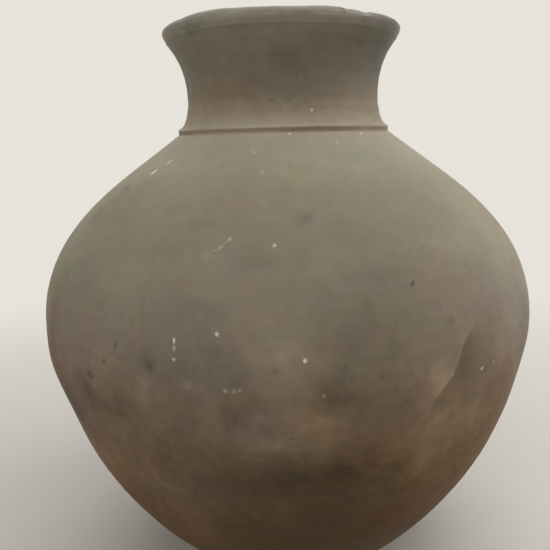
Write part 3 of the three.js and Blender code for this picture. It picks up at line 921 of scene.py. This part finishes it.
def claySpecksGroup():
    # masks of the pale specks and of the dark ones
    tree, given, out = newGroup(
        "claySpecks", [("Vector", "NodeSocketVector", None), ("Amount", "NodeSocketFloat", 1.0)],
        [("Pale", "NodeSocketFloat"), ("Dark", "NodeSocketFloat")])
    cells = addNode(tree, "ShaderNodeTexVoronoi", Vector=given["Vector"],
                    Scale=claySpecks["scale"]).outputs
    dice = addNode(tree, "ShaderNodeSeparateColor", Color=cells["Color"]).outputs
    near = ramp(tree, cells["Distance"], *claySpecks["size"], toLow=1, toHigh=0)
    mask = mathOf(tree, "MULTIPLY", near, given["Amount"])
    for label, part, strength in (("Pale", "palePart", "Red"), ("Dark", "darkPart", "Blue")):
        picked = ramp(tree, dice["Green"], *claySpecks[part])
        tree.links.new(mathOf(tree, "MULTIPLY", mathOf(tree, "MULTIPLY", mask, picked), dice[strength]),
                       out[label])
    return tree


grainGroup = clayGrainGroup()
mottleGroup = clayMottleGroup()
markGroup = clayMarkGroup()
specksGroup = claySpecksGroup()
print("clay's node groups made")


def placeGroup(tree, group, **inputs):
    return addNode(tree, "ShaderNodeGroup", {"node_tree": group}, **inputs)


def marksMask(tree, vector, marks, low, high, power):
    # the strongest of the crisp marks that lie between two heights, or None
    mask = None
    low, high = low - clayMark["overlap"], high + clayMark["overlap"]
    for angle, height, across, up, lean, strength in marks:
        if strength < crispFrom or not low <= height <= high:
            continue
        radius, turn = girthRadiusAt(height * mm), math.radians(angle)
        place = (radius * math.sin(turn), -radius * math.cos(turn), height * mm)
        slope = np.gradient(outerLine[:, 1], outerRun)
        rise = max(clayMark["flattest"], float(np.interp(runAt(height * mm), outerRun, slope)))
        node = placeGroup(tree, markGroup, Vector=vector, Place=place, Strength=strength ** power,
                          Turn=(0, -math.radians(lean), turn),
                          Size=(across * mm, clayMark["depth"], up * rise * mm))
        mask = node.outputs["Mask"] if mask is None else mathOf(tree, "MAXIMUM", mask, node.outputs["Mask"])
    return mask


# Finish of the clay: tints and patches multiply the painted colour, and marks replace it
clayFinish = {
    "gloss": 0.3,
    "shadeSpan": (0.8, 1.2), "roughSwing": 0.06,     # the darker clay is the rougher
    "insideFrom": (0.2, 0.7), "insideRougher": 0.22,     # from a share of the wall's depth
    "tooth": 0.5, "pits": 0.7, "drag": 0.35,
    "toothMiddle": 0.5, "toothShade": 0.12, "pitShade": 0.3, "fleckShade": 0.07,
    "bumpDepth": 0.16 * mm, "bumpStrength": 0.8,
    "frayScale": 900.0, "fray": 0.8 * mm,      # how far the edge of a mark wanders
    "flameEdge": 0.5,                          # mm, half width of its crisp edge
    "paleMark": (0.92, 0.89, 0.80), "darkMark": (0.075, 0.055, 0.038),
    "tintAmount": 0.5, "cool": (0.90, 1.02, 0.92), "mauve": (1.02, 0.95, 1.04), "warm": (1.10, 0.99, 0.86),
    "insideTone": (0.085, 0.068, 0.052),
    "palePatch": (1.28, 1.22, 1.22), "darkPatch": (0.76, 0.72, 0.68),
}


def tintOver(tree, mask, colour, tint):
    # multiplies a colour by a tint where the mask says so
    return mixColour(tree, mask, colour, mixColour(tree, 1.0, colour, tint, "MULTIPLY"))


def flameOver(tree, colour):
    # the flame mark: pale to the left of its crisp edge, and dark to the right
    edge, fade = attributeOf(tree, "flameEdge"), attributeOf(tree, "flameFade")
    crisp = ramp(tree, edge, -clayFinish["flameEdge"], clayFinish["flameEdge"])
    left = mathOf(tree, "MULTIPLY", crisp, ramp(tree, edge, 0, flameMark["paleWidth"], toLow=1, toHigh=0))
    right = mathOf(tree, "MULTIPLY", mathOf(tree, "SUBTRACT", 1.0, crisp),
                   ramp(tree, edge, -flameMark["darkWidth"], 0))
    for mask, patch in ((left, "palePatch"), (right, "darkPatch")):
        colour = tintOver(tree, mathOf(tree, "MULTIPLY", mask, fade), colour, clayFinish[patch])
    return colour


def clayMaterial(name, marked=None, tone=0.078, roughness=0.62, bump=1.0, flame=False):
    # marked is the lowest and highest height in mm of the small marks that the piece carries
    material = bpy.data.materials.new(name)
    material.use_nodes = True
    tree = material.node_tree
    shader = tree.nodes["Principled BSDF"]
    vector = addNode(tree, "ShaderNodeTexCoord").outputs["Object"]
    colour = attributeOf(tree, "clayAndLightColour", "Color")
    within = attributeOf(tree, "within")
    mottle = placeGroup(tree, mottleGroup, Vector=vector, Tone=tone).outputs
    for label, tint in (("Cool", "cool"), ("Mauve", "mauve"), ("Warm", "warm")):
        amount = mathOf(tree, "MULTIPLY", mottle[label], clayFinish["tintAmount"])
        colour = tintOver(tree, amount, colour, clayFinish[tint])
    if flame:
        colour = flameOver(tree, colour)
    grain = placeGroup(tree, grainGroup, Vector=vector, Tooth=clayFinish["tooth"],
                       Pits=clayFinish["pits"], Drag=clayFinish["drag"]).outputs
    tooth = mathOf(tree, "SUBTRACT", grain["Tooth Mask"], clayFinish["toothMiddle"])
    shade = mathOf(tree, "MULTIPLY_ADD", tooth, clayFinish["toothShade"], mottle["Shade"])
    colour = addNode(tree, "ShaderNodeVectorMath", {"operation": "SCALE"}, i0=colour, Scale=shade).outputs[0]
    for mask, share, mark in ((grain["Pit Mask"], "pitShade", "darkMark"),
                              (mottle["Fleck"], "fleckShade", "paleMark")):
        amount = mathOf(tree, "MULTIPLY", mask, clayFinish[share])
        colour = mixColour(tree, amount, colour, clayFinish[mark])
    height = grain["Height"]
    jitter = noiseOf(tree, vector, clayFinish["frayScale"], 1.0, output="Color")
    frayed = vectorMath(tree, "MULTIPLY_ADD", jitter, (clayFinish["fray"],) * 3, vector)
    frayed = vectorMath(tree, "SUBTRACT", frayed, (clayFinish["fray"] / 2,) * 3)
    specks = placeGroup(tree, specksGroup, Vector=frayed, Amount=attributeOf(tree, "aside")).outputs
    colour = mixColour(tree, specks["Dark"], colour, clayFinish["darkMark"])
    colour = mixColour(tree, specks["Pale"], colour, clayFinish["paleMark"])
    if marked:
        for marks, power, mark, sense in ((darkMarks, 1.0, "darkMark", "SUBTRACT"),
                                          (paleMarks, clayMark["paleFall"], "paleMark", "ADD")):
            mask = marksMask(tree, frayed, marks, *marked, power)
            if mask:
                colour = mixColour(tree, mask, colour, clayFinish[mark])
                height = mathOf(tree, sense, height, mask)
    inner = ramp(tree, within, *clayFinish["insideFrom"])
    grey = addNode(tree, "ShaderNodeCombineColor", i0=mottle["Shade"], i1=mottle["Shade"],
                   i2=mottle["Shade"]).outputs[0]
    colour = mixColour(tree, inner, colour, mixColour(tree, 1.0, grey, clayFinish["insideTone"], "MULTIPLY"))
    shader.inputs["Specular IOR Level"].default_value = clayFinish["gloss"]
    tree.links.new(colour, shader.inputs["Base Color"])
    swing = clayFinish["roughSwing"]
    rough = ramp(tree, mottle["Shade"], *clayFinish["shadeSpan"], roughness + swing, roughness - swing,
                 "LINEAR")
    tree.links.new(mathOf(tree, "MULTIPLY_ADD", inner, clayFinish["insideRougher"], rough),
                   shader.inputs["Roughness"])
    relief = addNode(tree, "ShaderNodeBump", Height=height, Distance=clayFinish["bumpDepth"] * bump,
                     Strength=clayFinish["bumpStrength"])
    tree.links.new(relief.outputs[0], shader.inputs["Normal"])
    return material


def finish(piece, node, material):
    piece.data.materials.append(material)
    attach(piece, "root")
    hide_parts(node)
    print(node, "made,", len(piece.data.polygons), "faces")


# Foot ring
foot = {"width": 13 * mm, "height": 6 * mm, "chamfer": 1.5 * mm, "tongueWidth": 4 * mm,
        "tongueHeight": 2.5 * mm, "steps": 480}


def makeFootRing():
    outside = bodyShape["footRadius"]
    inside = outside - foot["width"]
    middle = outside - foot["width"] / 2
    half = foot["tongueWidth"] / 2
    top = foot["height"] + foot["tongueHeight"]
    outline = [
        (inside, 0), (inside, foot["height"]),
        (middle - half, foot["height"]), (middle - half, top), (middle + half, top),
        (middle + half, foot["height"]), (outside, foot["height"]), (outside, 0)]
    piece = turned("foot_ring_fine", outline, foot["steps"],
                   rounds=[(0, foot["chamfer"], 5), (len(outline) - 1, foot["chamfer"], 5)])
    paintClay(piece, *shapeByHand(piece))
    clay = clayMaterial("footClay", tone=0.14, roughness=0.8, bump=1.6)
    finish(piece, "foot_ring", clay)


# Floor disc
floorShape = {"thickness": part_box("lower_wall")[0].z - seams["foot"] - seams["slip"],
              "bossHeight": 3 * mm, "bossRound": 1.5 * mm, "steps": 480, "edgeSteps": 8,
              "topRings": (0, 12, 24, 36, 48, 60), "underRings": (42, 28, 14, 0)}     # radii in mm


def makeFloorDisc():
    bottom, top = seams["foot"], seams["foot"] + floorShape["thickness"]
    bossTop = top + floorShape["bossHeight"]
    bossRadius = skin(bodyLine, bodyShape["wall"], seams["floor"], seams["belly"], 2)[0][0] - seams["slip"]
    middle = bodyShape["footRadius"] - foot["width"] / 2
    reach = foot["tongueWidth"] / 2 + seams["slip"]
    grooveTop = foot["height"] + foot["tongueHeight"] + seams["slip"]
    outside = skin(bodyLine, 0, bottom, top, floorShape["edgeSteps"])
    centre = [(radius * mm, bossTop) for radius in floorShape["topRings"]]
    under = [(radius * mm, bottom) for radius in floorShape["underRings"]]
    outline = centre + [(bossRadius, bossTop), (bossRadius, top)] + outside[::-1] + [
        (middle + reach, bottom), (middle + reach, grooveTop),
        (middle - reach, grooveTop), (middle - reach, bottom)] + under
    piece = turned("floor_disc_fine", outline, floorShape["steps"],
                   rounds=[(len(centre), floorShape["bossRound"], 4)], endsOnAxis=True)
    angle, run, height = shapeByHand(piece)[:3]
    paintClay(piece, angle, run, height, (height > top - 1 * mm) * 1.0)
    finish(piece, "floor_disc", clayMaterial("floorClay", tone=0.16, roughness=0.82))


# Walls of the body, and the step in the seam between them
wallShape = {"fineSteps": 92, "innerSteps": 40, "turnSteps": 480, "mouthRadius": 62 * mm,
             "insideReach": 1.3}       # of the wall, how deep the dome's outside finish fades out
stepHeight = seams["belly"] - seams["bellyLap"]
stepRadius = (skin(bodyLine, 0, seams["floor"], seams["belly"], 2)[-1][0]
              + skin(bodyLine, bodyShape["wall"], seams["floor"], stepHeight, 2)[-1][0]) / 2
domeEnd = skin(bodyLine, bodyShape["wall"], 0, 1, 2)[-1]       # inner end of the dome, under the mouth


def makeLowerWall():
    bottom, top = seams["floor"], seams["belly"]
    inner = skin(bodyLine, bodyShape["wall"], bottom, stepHeight, wallShape["innerSteps"])
    outer = skin(bodyLine, 0, bottom - seams["slip"], top, wallShape["fineSteps"])
    outline = inner + [(stepRadius, stepHeight), (stepRadius, top)] + outer[::-1]
    piece = turned("lower_wall_fine", outline, wallShape["turnSteps"])
    paintClay(piece, *shapeByHand(piece, bodyShape["wall"]))
    finish(piece, "lower_wall", clayMaterial("lowerWallClay", (bottom / mm, top / mm)))


def makeUpperWall():
    bottom, stepBottom = seams["belly"], stepHeight + seams["slip"]
    inner = skin(bodyLine, bodyShape["wall"], stepBottom, domeEnd[1], wallShape["innerSteps"])
    outer = skin(bodyLine, 0, bottom, seams["shoulder"], wallShape["fineSteps"])
    mouth = wallShape["mouthRadius"]
    outline = [(stepRadius - seams["slip"], bottom + seams["slip"]), (stepRadius - seams["slip"], stepBottom)]
    outline += inner + [(mouth, domeEnd[1]), (mouth, seams["shoulder"])] + outer[::-1]
    piece = turned("upper_wall_fine", outline, wallShape["turnSteps"])
    angle, run, height, inside = shapeByHand(piece, bodyShape["wall"] * wallShape["insideReach"])
    paintClay(piece, angle, run, height, inside)
    paintFlame(piece, angle, run)
    finish(piece, "upper_wall",
           clayMaterial("upperWallClay", (bottom / mm, seams["shoulder"] / mm), flame=True))


# Coils pressed over the seams inside
coilShape = {"bellyHeight": 15 * mm, "bellySwell": 5 * mm, "neckHeight": 6 * mm, "neckSwell": 5.4 * mm,
             "steps": 240, "cuts": 10}


def makeBellyCoil():
    bottom, top = stepHeight - coilShape["bellyHeight"] / 2, stepHeight + coilShape["bellyHeight"] / 2
    depth = bodyShape["wall"] + seams["slip"]
    back = skin(bodyLine, depth, bottom, top, coilShape["cuts"])
    swell = [skin(bodyLine, depth + coilShape["bellySwell"] * math.sin(math.pi * share),
                  bottom + share * coilShape["bellyHeight"], top + 1 * mm, 1)[0]
             for share in np.linspace(0, 1, coilShape["cuts"] + 1)]
    piece = turned("belly_seam_coil_fine", swell[1:-1] + back[::-1], coilShape["steps"])
    angle, run, height = shapeByHand(piece, bodyShape["wall"])[:3]
    paintClay(piece, angle, run, height, np.ones(len(height)))
    finish(piece, "belly_seam_coil", clayMaterial("bellyCoilClay", roughness=0.8))


def makeNeckCoil():
    corner = (wallShape["mouthRadius"], domeEnd[1] - seams["slip"])
    low, high = Vector((corner[0], corner[1] - coilShape["neckHeight"])), Vector((domeEnd[0], corner[1]))
    swell = Vector((domeEnd[0], corner[1] - coilShape["neckSwell"]))
    front = geometry.interpolate_bezier(
        low, low.lerp(swell, 2 / 3), high.lerp(swell, 2 / 3), high, coilShape["cuts"] + 1)
    piece = turned("neck_seam_coil_fine", [corner] + [(p.x, p.y) for p in front[::-1]], coilShape["steps"])
    angle, run, height = shapeByHand(piece)[:3]
    paintClay(piece, angle, run, height, np.ones(len(height)))
    finish(piece, "neck_seam_coil", clayMaterial("neckCoilClay", roughness=0.8))


# Neck: spigot, flange and waisted tube
neckDetail = {
    "spigotDepth": 13 * mm, "boreRings": 14,
    "arrisRound": 0.7 * mm, "faceRound": 0.3 * mm,     # the flange's arris, and the edge under it
    "undercut": 0.15 * mm, "undercutFrom": 1 * mm,     # its face, set back between two edges
    "seamGap": 0.05 * mm, "seamReach": 2 * mm,         # how it closes the seam from outside
    "tongueWidth": 3 * mm, "tongueHeight": 2 * mm,
    "rootSteps": 22, "flareSteps": 34, "innerSteps": 26, "turnSteps": 480,
    "ledgeWave": 0.3 * mm, "ledgeWaveSize": 9 * mm,
    "waveFrom": 3 * mm,                                # out from the waist, and fading in over as much
    "waveLow": 0.2 * mm, "waveRise": 2 * mm,           # up from the seam, and fading in
    "waveTop": 3 * mm,                                 # over the flange, where it ends
    "marked": (294, 351),                              # heights of its small marks, in mm
}
lipSeatInside = skin(neckFlareLine, neckShape["wall"], waist[1], flareTop, 2)[-1][0]
tongueRadius = (lipSeatInside + neckShape["flareRadius"]) / 2


def waveLedge(piece):
    # the flange's edge wanders a little, as a hand-cut ledge does
    points = pointsOf(piece.data)
    radius = np.hypot(points[:, 0], points[:, 1])
    share = np.clip((radius - waist[0] - neckDetail["waveFrom"]) / neckDetail["waveFrom"], 0, 1)
    rise = (points[:, 2] - seams["shoulder"] - neckDetail["waveLow"]) / neckDetail["waveRise"]
    share *= np.clip(rise, 0, 1)
    share *= points[:, 2] < flangeTop + neckDetail["waveTop"]
    wave = drift(points * (1, 1, 0), neckDetail["ledgeWaveSize"], driftSeeds["ledge"])
    points[:, 2] += wave * neckDetail["ledgeWave"] * share
    movePoints(piece.data, points)


def makeNeckCollar():
    spigotRadius = wallShape["mouthRadius"] - seams["slip"]
    spigotBottom = seams["shoulder"] - neckDetail["spigotDepth"]
    bore = waist[0] - neckShape["wall"]
    half = neckDetail["tongueWidth"] / 2
    tongueTop = flareTop + neckDetail["tongueHeight"]
    inner = skin(neckFlareLine, neckShape["wall"], waist[1], flareTop, neckDetail["innerSteps"])
    straight = [(bore, height)
                for height in np.linspace(spigotBottom, waist[1], neckDetail["boreRings"])[:-1]]
    outer = skin(neckFlareLine, 0, waist[1], flareTop, neckDetail["flareSteps"])
    root = skin(neckRootLine, 0, flangeTop, waist[1], neckDetail["rootSteps"])
    start = [(spigotRadius, flangeBottom), (spigotRadius, spigotBottom)]
    outline = start + straight + inner + [
        (tongueRadius - half, flareTop), (tongueRadius - half, tongueTop),
        (tongueRadius + half, tongueTop), (tongueRadius + half, flareTop)]
    face = flangeRadius - neckDetail["undercut"]
    closed = seams["shoulder"] + neckDetail["seamGap"]
    outline += outer[::-1] + root[-2:0:-1]
    arris = len(outline)
    outline += [
        (flangeRadius, flangeTop), (flangeRadius, flangeTop - neckDetail["undercutFrom"]),
        (face, flangeBottom + neckDetail["undercutFrom"]),
        (face, closed), (face - neckDetail["seamReach"], closed)]
    piece = turned("neck_collar_fine", outline, neckDetail["turnSteps"],
                   rounds=[(arris, neckDetail["arrisRound"], 4), (arris + 1, neckDetail["faceRound"], 3)])
    waveLedge(piece)
    paintClay(piece, *shapeByHand(piece, neckShape["wall"]))
    finish(piece, "neck_collar", clayMaterial("neckClay", neckDetail["marked"], tone=0.1))


# Lip: a thick roll, uneven along its crown
lipShape = {
    "radius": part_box("lip_ring")[1].x, "shoulderRise": 5.3 * mm, "rise": 8.3 * mm,
    "crownInset": 4.3 * mm, "insidePull": 4.1 * mm, "outsidePull": 1.7 * mm,
    "crownPull": 2.2 * mm, "edgePull": 0.8 * mm, "turnSteps": 480, "cuts": 12,
    "bandStep": 0.14 * mm, "bandRound": 0.8 * mm,
    "bandLean": 12,                                    # degrees more than the flare below it
    "bandUnder": 0.2, "bandProud": 0.3,                # shares of the band's round
    "crownWave": 0.5 * mm, "crownWaveSize": 30 * mm,
    "crownFrom": 3 * mm, "crownFade": 5 * mm,          # up from the seam, and fading in
    "crownMost": 1.1, "crownSink": 0.3,                # shares of the wave
    "crownFine": 0.2, "crownFineSize": 0.25,           # a finer wave, as shares of the broad one
    "edgeWave": 0.2 * mm, "edgeWaveSize": 11 * mm,
    "ridgeWave": 0.25 * mm, "ridgeWaveSize": 9 * mm,
    "edgeReach": 1.5 * mm, "outsideFrom": 0.05 * mm,
    "innerFade": 6 * mm,                               # inwards from the crown
    "marked": (351, 362),                              # heights of its small marks, in mm
}
# Dents of the crown: angle from the front, half width in mm, depth in mm (minus stands up)
crownDents = [(29.0, 2.2, 0.5), (38.0, 9.0, 0.9), (35.0, 3.0, -0.3), (43.0, 2.0, -0.25), (8.0, 7.0, 0.2),
              (-34.0, 26.0, -1.4), (-52.0, 4.0, 0.2), (-100.0, 7.0, 0.5), (96.0, 5.0, 0.45),
              (140.0, 8.0, 0.6), (-156.0, 4.0, 0.7)]


def waveCrown(piece):
    # the crown sinks and rises, and the edge under the lip and the ridge round it wander
    points = pointsOf(piece.data)
    share = (points[:, 2] - seams["lip"] - lipShape["crownFrom"]) / lipShape["crownFade"]
    share = np.clip(share, 0, lipShape["crownMost"])
    flat = points * (1, 1, 0)
    wave = drift(flat, lipShape["crownWaveSize"], driftSeeds["crown"]) - lipShape["crownSink"]
    fineSize = lipShape["crownFineSize"] * lipShape["crownWaveSize"]
    wave += lipShape["crownFine"] * drift(flat, fineSize, driftSeeds["crownFine"])
    points[:, 2] += wave * lipShape["crownWave"] * share
    outside = np.hypot(points[:, 0], points[:, 1]) > neckShape["flareRadius"] + lipShape["outsideFrom"]
    for name, middle in (("edge", seams["lip"]), ("ridge", seams["lip"] + lipShape["shoulderRise"])):
        near = outside * np.clip(1 - np.abs(points[:, 2] - middle) / lipShape["edgeReach"], 0, 1)
        wave = drift(flat, lipShape[name + "WaveSize"], driftSeeds[name])
        points[:, 2] += wave * lipShape[name + "Wave"] * near
    angle = angleAndHeight(points)[0]
    for middle, width, depth in crownDents:
        away = girthFrom(middle, angle, lipShape["radius"])
        points[:, 2] -= depth * mm * np.exp(-(away / width) ** 2) * share
    movePoints(piece.data, points)


def makeLipRing():
    bottom = seams["lip"]
    half = neckDetail["tongueWidth"] / 2 + seams["slip"]
    grooveTop = flareTop + neckDetail["tongueHeight"] + seams["slip"]
    crown = (lipShape["radius"] - lipShape["crownInset"], bottom + lipShape["rise"])
    widest = (lipShape["radius"], bottom + lipShape["shoulderRise"])
    leaning = 90 - neckShape["flareSlope"]
    cuts = lipShape["cuts"]
    insideLine = stretch((lipSeatInside, bottom), leaning, lipShape["insidePull"],
                         0, lipShape["crownInset"], crown, cuts)
    edge = (neckShape["flareRadius"], flareTop)
    under = (edge[0] + lipShape["bandStep"], edge[1] + lipShape["bandUnder"] * lipShape["bandRound"])
    proud = (under[0] + lipShape["bandProud"] * lipShape["bandRound"], edge[1] + lipShape["bandRound"])
    outsideLine = [edge, under] + stretch(
        proud, leaning + lipShape["bandLean"], lipShape["outsidePull"], 90, lipShape["outsidePull"],
        widest, cuts)
    crownLine = stretch(widest, 90, lipShape["edgePull"], 180, lipShape["crownPull"], crown, cuts)
    outline = insideLine + crownLine[-2::-1] + outsideLine[-2::-1] + [
        (tongueRadius + half, bottom), (tongueRadius + half, grooveTop),
        (tongueRadius - half, grooveTop), (tongueRadius - half, bottom)]
    piece = turned("lip_ring_fine", outline, lipShape["turnSteps"])
    waveCrown(piece)
    angle, run, height = shapeByHand(piece)[:3]
    radius = np.hypot(*pointsOf(piece.data).T[:2])
    deep = np.clip((crown[0] - radius) / lipShape["innerFade"], 0, 1)
    paintClay(piece, angle, run, height, deep)
    clay = clayMaterial("lipClay", lipShape["marked"], tone=0.12, roughness=0.58)
    finish(piece, "lip_ring", clay)


for make in (makeFootRing, makeFloorDisc, makeLowerWall, makeBellyCoil,
             makeUpperWall, makeNeckCoil, makeNeckCollar, makeLipRing):
    make()

# Floor and light
studio = {
    "floorRadius": 4.0, "floorSides": 96,
    "paleTone": (0.80, 0.77, 0.71),        # the floor as the camera sees it
    "bounceTone": (0.24, 0.12, 0.07),      # the floor as it lights the vase
    "fadeFrom": 0.2, "fadeTo": 0.9,        # metres from the axis, where it turns into the background
    "worldTone": (0.80, 0.77, 0.71), "ambient": 0.2,
    "aim": (0, 0, 0.2),                    # where the lamps point
}
# Soft round lamps: place and size in metres, and power in watts
lamps = {
    "topBack": ((0, 0.7, 1.15), 1.0, 5.2),
    "topRight": ((0.7, 0, 1.15), 1.0, 3.0),
    "topFront": ((0, -0.7, 1.15), 1.0, 3.4),
    "right": ((1.2, 0.1, 0.45), 0.8, 4.4),
    "frontLeft": ((-0.85, -0.85, 0.55), 0.8, 3.8),
}


def makeFloor():
    bm = bmesh.new()
    bmesh.ops.create_circle(bm, cap_ends=True, radius=studio["floorRadius"],
                            segments=studio["floorSides"])
    bmesh.ops.recalc_face_normals(bm, faces=bm.faces[:])
    mesh = bpy.data.meshes.new("floor")
    bm.to_mesh(mesh)
    bm.free()
    floor = bpy.data.objects.new("floor", mesh)
    bpy.context.scene.collection.objects.link(floor)
    material = bpy.data.materials.new("paleFloor")
    material.use_nodes = True
    tree = material.node_tree
    tree.nodes.remove(tree.nodes["Principled BSDF"])
    seen = seenDirectly(tree)
    tone = mixColour(tree, seen, studio["bounceTone"], studio["paleTone"])
    matt = addNode(tree, "ShaderNodeBsdfDiffuse", Color=tone).outputs[0]
    glow = addNode(tree, "ShaderNodeEmission", Color=(*studio["worldTone"], 1), Strength=1.0).outputs[0]
    place = addNode(tree, "ShaderNodeTexCoord").outputs["Object"]
    away = vectorMath(tree, "LENGTH", place, output="Value")
    far = mathOf(tree, "MULTIPLY", ramp(tree, away, studio["fadeFrom"], studio["fadeTo"]), seen)
    mixed = addNode(tree, "ShaderNodeMixShader", i0=far, i1=matt, i2=glow).outputs[0]
    tree.links.new(mixed, tree.nodes["Material Output"].inputs["Surface"])
    mesh.materials.append(material)


def addLamp(name, place, size, power):
    data = bpy.data.lights.new(name, "AREA")
    data.shape = "DISK"
    data.size = size
    data.energy = power
    lamp = bpy.data.objects.new(name, data)
    lamp.location = place
    aim = Vector(studio["aim"]) - Vector(place)
    lamp.rotation_euler = aim.to_track_quat("-Z", "Y").to_euler()
    bpy.context.scene.collection.objects.link(lamp)


def lightWorld():
    world = bpy.data.worlds.new("studioWorld")
    world.use_nodes = True
    tree = world.node_tree
    seen = seenDirectly(tree)
    strength = ramp(tree, seen, 0, 1, studio["ambient"], 1.0, "LINEAR")
    background = tree.nodes["Background"]
    background.inputs["Color"].default_value = (*studio["worldTone"], 1)
    tree.links.new(strength, background.inputs["Strength"])
    bpy.context.scene.world = world


makeFloor()
for name, setup in lamps.items():
    addLamp(name, *setup)
lightWorld()
bpy.context.scene.view_settings.view_transform = "Standard"
print("floor and light placed")
